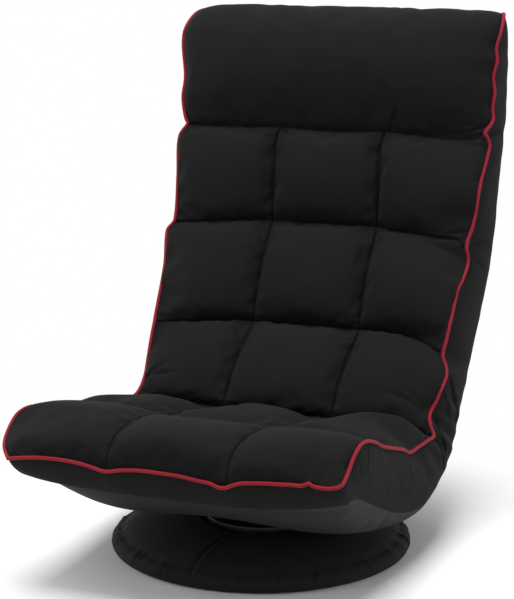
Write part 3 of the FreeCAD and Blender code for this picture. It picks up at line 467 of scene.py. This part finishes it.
def boxing_points():
    top, bottom, row, turn = loop_points()
    down = spaced(boxing_steps, edge_crowding)
    front = (turn > 0) & (turn < 1)
    outward = np.stack([np.where(turn <= 0, 1.0, -1.0), np.zeros(len(turn)), np.zeros(len(turn))], axis=1)
    outward[front] = (0.0, -0.85, -0.5)
    outward = smooth_rows(outward, 7)
    height = np.linalg.norm(top - bottom, axis=1)
    # Fuller where the band is wide, flatter beside the pillow and drawn in at the cross seams of the back
    fullness = np.minimum(height * 0.1, 10.0) * (1 - 0.6 * near(row, 0.68, 0.27) * ~front)
    bulge = fullness[:, None] * puff(down, 2.0, 0.7)[None]
    for seam in (1.0, 2.0, 3.0):
        bulge *= 1 - 0.8 * (near(row, seam, 0.05) * ~front)[:, None] * (1 - down)[None] ** 1.5
    grid = top[:, None] * (1 - down)[None, :, None] + bottom[:, None] * down[None, :, None]
    grid += outward[:, None] * bulge[:, :, None]
    # Gathers that fan out from the fold between seat and back
    fan = near(row, 3.85, 0.42) * ~front
    folds = np.sin(row * 34.0)[:, None] * np.sin(np.pi * down)[None] ** 0.7
    grid[:, :, 0] += np.sign(grid[:, :, 0]) * folds * 3.2 * fan[:, None]
    sewn = np.zeros(grid.shape[:2], bool)
    sewn[:, 0] = sewn[:, -1] = True
    sewn[0] = sewn[-1] = True
    return grid, np.flatnonzero(sewn.ravel())


# Rear and underside: one panel from the headrest down under the hinge to the front

# How far the panel's middle stands off the line of its side seams
belly = track([
    (0.0, 0), (0.12, 8), (0.4, 12), (1.0, 9), (1.5, 13), (2.0, 9), (2.5, 13), (3.0, 11), (3.6, 12),
    (4.0, 10), (4.3, 19), (4.7, 30), (4.95, 35), (5.25, 43), (5.5, 37), (5.75, 25), (5.9, 12), (6.0, 0)])
under_steps = 60
rear_seam = 0.38


def under_points():
    """The panel's grid, its sewn points and the place of each row."""
    v = grid_places(row_steps, under_crowding)
    v = v[(np.arange(len(v)) % 2 == 0) | (v >= 6)]
    line = rear_line(v)
    slope = unit(np.gradient(line[:, 1:], axis=0))
    outward = np.stack([np.zeros(len(v)), -slope[:, 1], slope[:, 0]], axis=1)
    reach = 2 * spaced(under_steps, edge_crowding) - 1
    grid = np.zeros((len(v), len(reach), 3))
    grid[:, :, 0] = line[:, :1] * reach[None]
    grid[:, :, 1:] = line[:, None, 1:]
    fall = np.clip(1 - np.abs(reach) ** 5, 0, 1) ** 0.55
    # Above the turntable the middle is drawn up
    raised = 1 - 0.26 * near(reach, 0.0, 0.45)[None] * near(v, 5.05, 0.35)[:, None]
    grid += outward[:, None] * (belly(v) * fall[None] * raised)[:, :, None]
    # The last row follows the front of the boxing
    _, bottom, row, _ = loop_points()
    low_front = bottom[row >= 6]
    low_front = low_front[np.argsort(low_front[:, 0])]
    for k in (1, 2):
        grid[-1, :, k] = np.interp(grid[-1, :, 0], low_front[:, 0], low_front[:, k])
    drop = (grid[-1, :, 2] - line[-1, 2])[None] * np.clip((v - 5.6) / 0.4, 0, 1)[:, None] ** 2
    grid[:-1, :, 2] += drop[:-1]
    # Two seams run down the rear of the back
    sewn = np.zeros(grid.shape[:2], bool)
    sewn[0] = sewn[-1] = True
    sewn[:, 0] = sewn[:, -1] = True
    for seam in (-rear_seam, rear_seam):
        sewn[v < 3.4, np.abs(reach - seam).argmin()] = True
    return grid, np.flatnonzero(sewn.ravel()), v


quilt_grid, quilt_sewn = quilt_points()
boxing_grid, boxing_sewn = boxing_points()
under_grid, under_sewn, under_rows = under_points()
# The panel's first row is shared with the top of the headrest, and its second lies between its neighbours
for axis in (1, 2):
    under_grid[0, :, axis] = np.interp(under_grid[0, :, 0], quilt_grid[0, :, 0], quilt_grid[0, :, axis])
under_grid[1, :, 1:] = (under_grid[0, :, 1:] + under_grid[2, :, 1:]) / 2

quilt = cloth_mesh("quilted_panel", quilt_grid, (0, 330, 300))
boxing = cloth_mesh("side_boxing", boxing_grid, (0, 90, 200))
under = cloth_mesh("rear_and_underside_panel", under_grid, (0, -60, 420))

quilt_rows = grid_places(row_steps, quilt_crowding)
v = np.repeat(quilt_rows, quilt_grid.shape[1])
u = np.tile(grid_places(column_steps, quilt_crowding), quilt_grid.shape[0])
# Next to the fold, at the column seams there and behind the seat's cross seam, the cloth lies flatter
off_seam = np.abs((u + 0.5) % 1 - 0.5)
flatter = (9 * near(v, 5.12, 0.3) + 7 * near(v, 4.08, 0.2) * (u < 2.4)
           + 6 * near(v, 4.3, 0.4) * near(off_seam, 0.05, 0.25))
settle(quilt, quilt_sewn, ease=0.024, push=1.2, stiff=1.6, frames=18, cap=np.maximum(12 - flatter, 1.0),
       calm=np.flatnonzero(v < 0.97))
settle(boxing, boxing_sewn, ease=0.03, push=1.0, stiff=0.8, frames=14, cap=8)
settle(under, under_sewn, ease=0.008, push=0.8, stiff=1.6, frames=12,
       cap=np.repeat(5 - 3.8 * near(under_rows, 6.0, 0.6), under_grid.shape[1]))
# The seat's seams lie shallower than the back's, and its cross seam shallowest
quilt_depth = 6.5 - 3.0 * (quilt_rows > 4.02) - 2.0 * near(quilt_rows, 5.0, 0.02)
sink(quilt, quilt_grid.shape, quilt_sewn, quilt_depth)
sink(under, under_grid.shape, under_sewn, 5.0)
for piece in (quilt, boxing, under):
    refine(piece)

# Creases (and, below 0, raised folds): depth, width and the points that they run through

boxing_creases = [
    (9.0, 2.8, [(249, 133, 256), (254, 141, 224), (253, 162, 198), (250, 166, 168)]),
    (-3.0, 4.0, [(247, 112, 238), (252, 125, 212), (254, 140, 185), (252, 142, 160)]),
    (9.0, 2.8, [(239, 86, 204), (246, 94, 188), (253, 88, 172), (254, 100, 148), (257, 104, 126)]),
    (-2.5, 2.5, [(243, 76, 190), (250, 80, 176), (254, 84, 155), (256, 88, 135)]),
    (7.5, 2.4, [(248, 60, 174), (253, 71, 163), (260, 76, 148), (258, 86, 122)]),
    (-0.7, 2.5, [(246, -48, 176), (253, -60, 160), (255, -58, 132)]),
    (0.5, 3.0, [(246, -60, 182), (252, -73, 165), (254, -74, 138)]),
    (-1.6, 2.5, [(247, -236, 240), (252, -245, 222), (251, -256, 194)]),
    (0.7, 4.0, [(247, -258, 240), (251, -274, 222), (249, -283, 196)]),
    (3.0, 3.0, [(243, 252, 428), (247, 277, 431), (253, 311, 426)]),
    (2.2, 3.0, [(243, 246, 414), (251, 266, 403), (255, 290, 389)]),
    (2.6, 3.0, [(252, 312, 596), (253, 336, 596), (257, 365, 597)])]
quilt_creases = [
    (4.2, 3.2, [(236, 80, 206), (217, 80, 221), (192, 85, 243)]),
    (4.0, 3.2, [(237, 77, 200), (213, 76, 217), (190, 75, 228), (168, 74, 232)]),
    (-2.0, 3.5, [(236, 79, 203), (216, 79, 219), (200, 80, 235)]),
    (2.6, 4.0, [(92, 50, 190), (125, 0, 207), (160, -38, 217), (190, -42, 212), (223, -36, 197),
                (240, -42, 185)]),
    (2.2, 5.0, [(-84, 58, 189), (-50, 10, 200), (-10, -60, 216), (30, -115, 229), (60, -140, 231)]),
    (3.5, 3.0, [(-86, 303, 594), (-78, 294, 588), (-72, 289, 580)]),
    (4.0, 4.0, [(110, 286, 636), (105, 290, 618), (98, 298, 602)]),
    (3.4, 6.0, [(-106, 287, 634), (-99, 289, 622), (-94, 298, 604)]),
    (3.4, 3.0, [(205, 301, 596), (231, 301, 602), (249, 306, 609)]),
    (4.2, 2.4, [(150, 300, 591), (175, 300, 590), (200, 300, 589), (226, 300, 588), (249, 301, 589)])]
# Both sides of the boxing have the same creases, and both sides of the seat those of the fold
fold_creases = quilt_creases[:3]
for depth, width, line in boxing_creases:
    press(boxing, line, depth, width)
    press(boxing, [(-x, y, z) for x, y, z in line], depth, width)
for depth, width, line in quilt_creases:
    press(quilt, line, depth, width)
for depth, width, line in fold_creases:
    press(quilt, [(-x, y, z) for x, y, z in line], depth, width)


# Piping: a cord sewn into the seam round the quilted panel

piping_radius = 2.6
# How far the cord stands above the seam and out from the cloth
piping_rise = 0.6
piping_reach = 2.2


def piping_points():
    top, bottom, _, turn = loop_points()
    front = (turn > 0) & (turn < 1)
    # The small offset gives a direction also where the two lines meet
    rise = unit(top - bottom + np.array([0, 1e-3, 1e-3])) * piping_rise
    away = np.stack([np.sign(top[:, 0]) * ~front, -1.0 * front, np.zeros(len(turn))], axis=1)
    return top + rise + smooth_rows(away, 4) * piping_reach


def tube_mesh(name, route, radius, sides=10):
    """A round cord along a line of points in mm, closed at both ends."""
    rings = []
    across = np.array([1.0, 0.0, 0.0])
    for point, ahead in zip(route, unit(np.gradient(route, axis=0))):
        # Each ring starts from the direction of the last one, so that the cord doesn't twist
        across = unit(across - ahead * (across @ ahead))
        beside = np.cross(ahead, across)
        rings.append([point + radius * (math.cos(a) * across + math.sin(a) * beside)
                      for a in np.linspace(0, 2 * math.pi, sides, endpoint=False)])
    last = (len(route) - 1) * sides
    faces = []
    for first in range(0, last, sides):
        for k in range(sides):
            m = (k + 1) % sides
            faces.append((first + k, first + m, first + sides + m, first + sides + k))
    faces.append(tuple(range(sides)))
    faces.append(tuple(last + k for k in reversed(range(sides))))
    mesh = bpy.data.meshes.new(name)
    mesh.from_pydata((np.array(rings).reshape(-1, 3) * MM).tolist(), [], faces)
    length = np.concatenate([[0], np.cumsum(np.linalg.norm(np.diff(route, axis=0), axis=1))])
    uv = mesh.uv_layers.new(name="cloth")
    for loop in mesh.loops:
        ring, k = divmod(loop.vertex_index, sides)
        uv.data[loop.index].uv = (k / sides * 2 * math.pi * radius * MM, length[ring] * MM)
    rework(mesh, lambda work: bmesh.ops.recalc_face_normals(work, faces=work.faces))
    piece = placed(name, mesh)
    shade_smooth(piece)
    return piece


piping = tube_mesh("red_piping", piping_points(), piping_radius)


# Base cover: a fabric cone drawn over the ring, gathered into a rolled rim

# Radius and height from under the hem over the rim to the bearing, then back inside
base_profile = (
    (196, 1.2), (208, 0.6), (218, 0.8), (223.5, 4), (226, 9.5), (225.5, 15.5), (222, 20.5), (217, 23.6),
    (212.5, 24.6), (208, 27), (201, 31.4), (190, 35.4), (170, 39.4), (140, 43), (110, 46), (95, 46.2),
    (92, 44), (92, 41))
base_turns = 480
base_rows = 76
neck_radius = 92
base_seam_angle = math.radians(-91)
floor_gap = 0.6


def base_cover_mesh():
    last = len(base_profile) - 1
    places = np.linspace(0, last, base_rows)
    radius, height = track([(k, r, z) for k, (r, z) in enumerate(base_profile)])(places).T
    # The seam swerves as it runs out; it is a ridge between two grooves, on the upper side alone
    swerve = 1 - (1 - np.clip((radius - neck_radius) / 85, 0, 1)) ** 2
    upper = (places > 5) * (places < last - 1.5)
    hem = np.clip((radius - 150) / 60, 0, 1) * (places < last - 5)
    grid = np.zeros((base_rows, base_turns, 3))
    for j, a in enumerate(np.linspace(0, 2 * np.pi, base_turns, endpoint=False)):
        pucker = noise.noise(Vector((math.cos(a) * 11, math.sin(a) * 11, 0.0)))
        gap = math.remainder(a - base_seam_angle, 2 * math.pi) * radius
        ridge = (1.4 * near(gap, -11 * swerve, 4.0) - 2.6 * near(gap, -17 * swerve, 2.2)
                 - 1.2 * near(gap, -4 * swerve, 2.2))
        # The rim is drawn in at the right and fuller at the front right
        full_gap = math.remainder(a + math.radians(62), 2 * math.pi)
        drawn_in = 3.0 * max(0.0, math.cos(a - math.radians(15))) ** 2 - 3.0 * near(full_gap, 0.0, 0.7)
        r = radius + hem * (near(places, 6.5, 2.5) * pucker * 1.9 - drawn_in)
        z = height + ridge * upper + hem * pucker * 1.6 * near(places, 7.8, 1.6)
        grid[:, j] = np.stack([r * math.cos(a), r * math.sin(a), np.maximum(z, floor_gap)], axis=1)
    piece = cloth_mesh("base_cover_cloth", np.concatenate([grid, grid[:, :1]], axis=1), (0, 0, 15))
    rework(piece.data, lambda work: bmesh.ops.remove_doubles(work, verts=work.verts, dist=1e-5))
    shade_smooth(piece)
    return piece


base_cloth = base_cover_mesh()

# Short gathers where the hem is drawn tight, at an angle and with a slant in degrees. Each is a crease with a
# fold beside it: degrees aside, depth and width
gathers = (
    (-84, 3), (-77.5, 1.5), (-67, 3.5), (-61, -2), (-50, 3), (-24, -2), (9, 2.5), (44, -3), (81, 2), (117, 3),
    (148, -2), (183, 3), (214, 2), (238, -2.5), (252, 2))
for angle, slant in gathers:
    for aside, depth, width in ((0.0, 2.2, 2.2), (1.3, -2.0, 2.4)):
        gather = []
        for r, z, turn in ((226, 11, 0.0), (220, 21.5, slant / 2), (206, 28, slant)):
            a = math.radians(angle + aside + turn)
            gather.append((r * math.cos(a), r * math.sin(a), z))
        press(base_cloth, gather, depth, width)


# Finishes

# A wave texture of scale 1 repeats after so many metres
wave_length = 0.314


def colour(code):
    """sRGB hex to the linear values a shader takes."""
    parts = [int(code[k:k + 2], 16) / 255 for k in (1, 3, 5)]
    return [p / 12.92 if p <= 0.04045 else ((p + 0.055) / 1.055) ** 2.4 for p in parts] + [1.0]


def add(tree, kind, settings=None, **inputs):
    """A node with its settings, values and links. An input goes by its name, or by i and its number."""
    node = tree.nodes.new(kind)
    for key, value in (settings or {}).items():
        setattr(node, key, value)
    for key, value in inputs.items():
        numbered = key[0] == "i" and key[1:].isdigit()
        socket = node.inputs[int(key[1:]) if numbered else key.replace("_", " ")]
        if isinstance(value, bpy.types.NodeSocket):
            tree.links.new(value, socket)
        else:
            socket.default_value = value
    return node


def material(name):
    """An empty material and its tree."""
    finish = bpy.data.materials.new(name)
    finish.use_nodes = True
    finish.node_tree.nodes.clear()
    return finish, finish.node_tree


def woven_polyester(name, dark, light, thread, rough, sheen, depth):
    """Plain-woven polyester: a matte, slightly fuzzy cloth with a fine rib and a soft bloom at its edges.
    The real thread is about 0.4 mm; it is drawn coarser, thread mm wide, so that it shows at the size of the
    render."""
    finish, tree = material(name)
    place = add(tree, "ShaderNodeUVMap", {"uv_map": "cloth"}).outputs[0]
    warp, weft = [add(tree, "ShaderNodeTexWave", {"wave_type": "BANDS", "bands_direction": way}, Vector=place,
                      Scale=wave_length / (thread * MM), Distortion=1.2, Detail=2.0, Detail_Scale=1.5)
                  for way in "XY"]
    over = add(tree, "ShaderNodeMath", {"operation": "MULTIPLY"}, i0=warp.outputs["Fac"],
               i1=weft.outputs["Fac"]).outputs[0]
    slub = add(tree, "ShaderNodeTexNoise", None, Vector=place, Scale=160.0, Detail=3.0, Roughness=0.6)
    cloud = add(tree, "ShaderNodeTexNoise", None, Vector=place, Scale=14.0, Detail=4.0,
                Roughness=0.55).outputs["Fac"]
    height = add(tree, "ShaderNodeMath", {"operation": "ADD"}, i0=over, i1=slub.outputs["Fac"])
    weave = add(tree, "ShaderNodeBump", None, Strength=depth, Distance=0.0006, Height=height.outputs[0])
    crease = add(tree, "ShaderNodeBump", None, Strength=0.35, Distance=0.003, Height=cloud,
                 Normal=weave.outputs[0])
    tone = add(tree, "ShaderNodeMath", {"operation": "MULTIPLY_ADD"}, i0=over, i1=0.5, i2=0.1)
    shade = add(tree, "ShaderNodeMath", {"operation": "MULTIPLY_ADD"}, i0=cloud, i1=0.6, i2=tone.outputs[0])
    mix = add(tree, "ShaderNodeMix", {"data_type": "RGBA"}, i0=shade.outputs[0], i6=colour(dark),
              i7=colour(light))
    shader = add(tree, "ShaderNodeBsdfPrincipled", None, Base_Color=mix.outputs[2], Roughness=rough,
                 Sheen_Weight=sheen, Sheen_Roughness=0.45, Specular_IOR_Level=0.1, Normal=crease.outputs[0])
    add(tree, "ShaderNodeOutputMaterial", None, Surface=shader.outputs[0])
    return finish


def plated_steel(name, dark, light, metallic, rough, grain):
    """Sheet and tube steel: fine rolling marks and faint cloudy patches in the plating or paint.
    With no metal and a high roughness it is the closed-cell foam of the floor pad."""
    finish, tree = material(name)
    place = add(tree, "ShaderNodeTexCoord").outputs["Object"]
    patch = add(tree, "ShaderNodeTexNoise", None, Vector=place, Scale=60.0, Detail=4.0).outputs["Fac"]
    marks = add(tree, "ShaderNodeTexNoise", None, Vector=place, Scale=grain, Detail=2.0)
    mix = add(tree, "ShaderNodeMix", {"data_type": "RGBA"}, i0=patch, i6=colour(dark), i7=colour(light))
    gloss = add(tree, "ShaderNodeMath", {"operation": "MULTIPLY_ADD"}, i0=patch, i1=0.2, i2=rough)
    bump = add(tree, "ShaderNodeBump", None, Strength=0.15, Distance=0.0004, Height=marks.outputs["Fac"])
    shader = add(tree, "ShaderNodeBsdfPrincipled", None, Base_Color=mix.outputs[2],
                 Roughness=gloss.outputs[0], Metallic=metallic, Normal=bump.outputs[0])
    add(tree, "ShaderNodeOutputMaterial", None, Surface=shader.outputs[0])
    return finish


# Deep black for the quilted panel and the boxing; on the base the same cloth a shade paler, painted light for
# its lit rim
black_fabric = woven_polyester("woven_polyester_black", "#090909", "#141414",
                               thread=2.4, rough=0.9, sheen=0.01, depth=0.5)
base_fabric_painted_light = woven_polyester("woven_polyester_black_painted_light", "#131313", "#222222",
                              thread=2.4, rough=0.85, sheen=0.01, depth=0.5)
# The rear and the underside are a smoother lining, greyer in itself and painted paler still as painted bounce
# light
lining = woven_polyester("smooth_polyester_lining_black_painted_paler", "#1b1b1b", "#2b2b2b",
                         thread=1.8, rough=0.7, sheen=0.01, depth=0.25)
# The cord is a dark, slightly shiny crimson
red_cord = woven_polyester("braided_polyester_crimson", "#640d16", "#8c1d2b",
                           thread=1.6, rough=0.6, sheen=0.02, depth=0.5)
# Bright zinc on what moves and on bolts, black paint on the frames; the plate in view is zinc painted darker,
# painted shade
zinc = plated_steel("zinc_plated_steel", "#a9abad", "#c9cbcd", metallic=1.0, rough=0.25, grain=900.0)
black_steel = plated_steel("black_painted_steel", "#111113", "#1c1c1e", metallic=0.0, rough=0.38, grain=700.0)
zinc_painted_shade = plated_steel("zinc_plated_steel_painted_shade", "#2c2d2f", "#404244", metallic=1.0, rough=0.3, grain=900.0)
foam = plated_steel("eva_foam_floor_pad", "#18181a", "#242427", metallic=0.0, rough=0.72, grain=1400.0)


def wear(piece, finish):
    piece.data.materials.clear()
    piece.data.materials.append(finish)


wear(quilt, black_fabric)
wear(boxing, black_fabric)
# The lining's paler colour is partly its own and partly painted light from the floor
wear(under, lining)
wear(piping, red_cord)
# The base cover wears the paler copy of the black cloth: painted light
wear(base_cloth, base_fabric_painted_light)

plated_parts = ("king_pin", "cage", "balls", "bolts", "hinge_rivet", "hinge_arm", "pawl")
for name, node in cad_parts.items():
    # The upper turntable plate wears the zinc painted darker: painted shade under the seat
    if name == "turntable_upper_plate":
        wear(node, zinc_painted_shade)
    elif name == "base_floor_pad":
        wear(node, foam)
    elif any(word in name for word in plated_parts):
        wear(node, zinc)
    else:
        wear(node, black_steel)

# What moves with what: the base cover rides with the base, and the CAD pieces that the cloths replace are
# hidden

for piece in (quilt, boxing, under, piping):
    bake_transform(piece)
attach(base_cloth, "base")
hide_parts("seat_cushion", "back_cushion", "headrest_cushion")
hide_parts("back_rear_pad", "seat_underside")
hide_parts("seat_piping", "back_piping")
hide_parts("base_cover")

# Studio: pale floor, white surround, soft lamps

def plainly_seen(tree):
    """1 for what the camera sees, also mirrored or through glass, and 0 for light that falls on things."""
    ray = add(tree, "ShaderNodeLightPath").outputs
    seen = ray["Is Camera Ray"]
    for kind in ("Is Glossy Ray", "Is Transmission Ray"):
        seen = add(tree, "ShaderNodeMath", {"operation": "MAXIMUM"}, i0=seen, i1=ray[kind]).outputs[0]
    return seen


def white_paper():
    """Matte white paper with a faint grain. Away from the chair it is plain white to the camera."""
    paper, tree = material("white_paper_floor")
    place = add(tree, "ShaderNodeTexCoord").outputs["Object"]
    grain = add(tree, "ShaderNodeTexNoise", None, Vector=place, Scale=30.0)
    tint = add(tree, "ShaderNodeMix", {"data_type": "RGBA"}, i0=grain.outputs["Fac"], i6=colour("#f4f4f4"),
               i7=colour("#fafafa"))
    sheet = add(tree, "ShaderNodeBsdfPrincipled", None, Base_Color=tint.outputs[2], Roughness=0.9)
    chair = add(tree, "ShaderNodeMapping", {"vector_type": "POINT"}, Vector=place, Scale=(0.9, 0.9, 0.9))
    spot = add(tree, "ShaderNodeTexGradient", {"gradient_type": "SPHERICAL"}, Vector=chair.outputs[0])
    away = add(tree, "ShaderNodeMapRange", {"interpolation_type": "SMOOTHSTEP"}, Value=spot.outputs["Fac"],
               From_Min=0.45, From_Max=0.78, To_Min=1.0, To_Max=0.0)
    share = add(tree, "ShaderNodeMath", {"operation": "MULTIPLY"}, i0=away.outputs[0], i1=plainly_seen(tree))
    glow = add(tree, "ShaderNodeEmission", None, Color=colour("#ffffff"), Strength=1.0)
    both = add(tree, "ShaderNodeMixShader", None, i0=share.outputs[0], i1=sheet.outputs[0],
               i2=glow.outputs[0])
    add(tree, "ShaderNodeOutputMaterial", None, Surface=both.outputs[0])
    return paper


bpy.ops.object.select_all(action="DESELECT")
bpy.ops.mesh.primitive_plane_add(size=14, location=(0, 0, -0.0005))
floor = bpy.context.object
floor.name = "studio_floor"
floor.data.materials.append(white_paper())

world = bpy.data.worlds.new("studio")
bpy.context.scene.world = world
world.use_nodes = True
surround = world.node_tree
surround.nodes.clear()
dim = add(surround, "ShaderNodeBackground", None, Color=colour("#ffffff"), Strength=0.28)
white = add(surround, "ShaderNodeBackground", None, Color=colour("#ffffff"), Strength=1.0)
sky = add(surround, "ShaderNodeMixShader", None, i0=plainly_seen(surround), i1=dim.outputs[0],
          i2=white.outputs[0])
add(surround, "ShaderNodeOutputWorld", None, Surface=sky.outputs[0])


def softbox(name, place, aim, size, watts):
    """A square lamp. Its place, aim and size are in metres."""
    data = bpy.data.lights.new(name, "AREA")
    data.shape = "SQUARE"
    data.size = size
    data.energy = watts
    lamp = placed(name, data)
    lamp.location = place
    lamp.rotation_euler = (Vector(aim) - Vector(place)).to_track_quat("-Z", "Y").to_euler()


softbox("softbox_top", (0.0, -0.35, 2.7), (0, 0, 0.3), size=1.6, watts=96)
softbox("softbox_left", (-2.2, -1.8, 1.4), (0, 0, 0.35), size=1.2, watts=20)
softbox("softbox_right", (2.4, -1.2, 0.9), (0, 0, 0.35), size=1.2, watts=12)
# Two low lamps a little behind the chair bring out the rim of the base and the sides
softbox("softbox_low_left", (-2.3, 0.5, 0.45), (-0.1, 0, 0.08), size=0.7, watts=11)
softbox("softbox_low_right", (2.3, 0.7, 0.45), (0.1, 0, 0.08), size=0.7, watts=8)

# Camera, fitted to the base ellipse, the seam junctions and the outline. The focal length and the offset of
# the picture's middle are in the photograph's pixels, the place in metres

photo_height = 599
focal_length = 1976.7
middle_left, middle_up = 12.06, 14.71
camera_place = (1.0584, -2.6445, 0.9590)
azimuth, pitch = math.radians(21.6), math.radians(12.0)
right = Vector((math.cos(azimuth), math.sin(azimuth), 0))
ahead = Vector((-math.sin(azimuth) * math.cos(pitch), math.cos(azimuth) * math.cos(pitch),
                -math.sin(pitch)))
above = right.cross(ahead)
lens = bpy.data.cameras.new("camera")
lens.sensor_fit = "VERTICAL"
lens.sensor_height = 36.0
lens.lens = focal_length * lens.sensor_height / photo_height
lens.shift_x = -middle_left / photo_height
lens.shift_y = middle_up / photo_height
lens.clip_end = 50
camera = placed("camera", lens)
turned = Matrix((right, above, -ahead)).transposed().to_4x4()
camera.matrix_world = Matrix.Translation(Vector(camera_place)) @ turned
bpy.context.scene.camera = camera
bpy.context.scene.view_settings.view_transform = "Standard"

bpy.context.view_layer.update()
